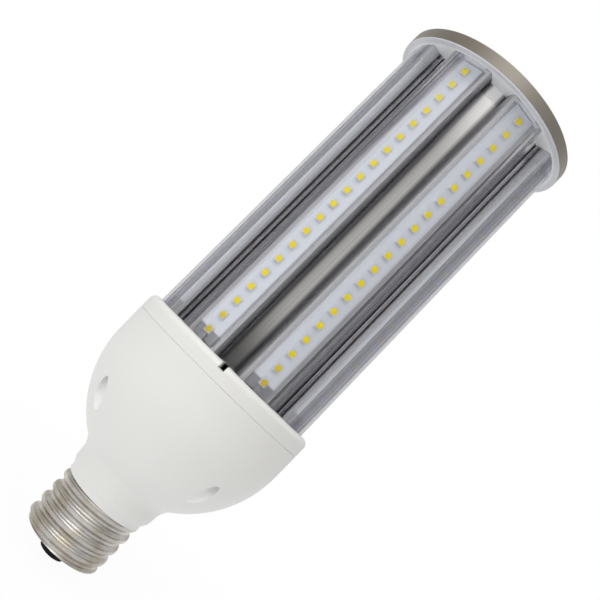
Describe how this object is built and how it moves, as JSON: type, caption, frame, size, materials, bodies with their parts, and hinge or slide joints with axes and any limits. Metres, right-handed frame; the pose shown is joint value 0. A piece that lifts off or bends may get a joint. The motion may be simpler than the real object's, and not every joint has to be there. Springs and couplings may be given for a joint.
{
  "type": "corn led bulb",
  "caption": "Long LED lamp with glazed strips of light round a ribbed aluminium core, a white bowl-shaped driver housing and a large round-threaded screw cap.",
  "frame": {"origin": "tip of the centre contact, on the lamp's axis", "axes": "+Z along the lamp's axis from the screw cap to the closed end, the collar's notch towards -Y"},
  "size_m": [0.0928, 0.0928, 0.2732],
  "materials": {
    "nickel_plate": "nickel-plated, polished by rolling",
    "insulator_plastic": "smooth moulding",
    "contact_metal": "dull",
    "white_plastic": "satin moulding",
    "bare_aluminium": "bright extrusion",
    "turned_aluminium": "fine turning marks",
    "white_board": "satin solder mask on an aluminium strip",
    "led_package": "yellow phosphor in a white package",
    "clear_plastic": "clear extrusion",
    "screw_steel": "zinc-plated",
    "board_green": "solder mask",
    "ferrite": "bare ferrite",
    "winding_tape": "wrapped in film tape",
    "capacitor_sleeve": "shrunk sleeve",
    "film_case": "moulded case",
    "black_resin": "moulded resin",
    "lead_red": "insulated wire",
    "lead_black": "insulated wire",
    "lead_grey": "flat insulated pair"
  },
  "bodies": {
    "root": {"bridge_rectifier": "black_resin", "cap_insulator": "insulator_plastic", "centre_contact": "contact_metal", "clear_cover_1": "clear_plastic", "clear_cover_2": "clear_plastic", "clear_cover_3": "clear_plastic", "clear_cover_4": "clear_plastic", "clear_cover_5": "clear_plastic", "clear_cover_6": "clear_plastic", "clear_cover_7": "clear_plastic", "clear_cover_8": "clear_plastic", "core_screws": "screw_steel", "driver_board": "board_green", "driver_housing": "white_plastic", "end_cap": "turned_aluminium", "end_cap_screws": "screw_steel", "end_plate": "white_plastic", "filter_capacitor": "film_case", "heat_sink": "bare_aluminium", "housing_screws": "screw_steel", "led_board_1": "white_board", "led_board_2": "white_board", "led_board_3": "white_board", "led_board_4": "white_board", "led_board_5": "white_board", "led_board_6": "white_board", "led_board_7": "white_board", "led_board_8": "white_board", "led_row_1": "led_package", "led_row_2": "led_package", "led_row_3": "led_package", "led_row_4": "led_package", "led_row_5": "led_package", "led_row_6": "led_package", "led_row_7": "led_package", "led_row_8": "led_package", "line_choke": "ferrite", "live_lead": "lead_red", "mains_capacitor": "capacitor_sleeve", "mains_fuse": "black_resin", "neutral_lead": "lead_black", "output_capacitor": "capacitor_sleeve", "screw_shell": "nickel_plate", "strip_leads": "lead_grey", "transformer_core": "ferrite", "transformer_winding": "winding_tape", "tube_collar": "white_plastic"}
  },
  "joints": []
}
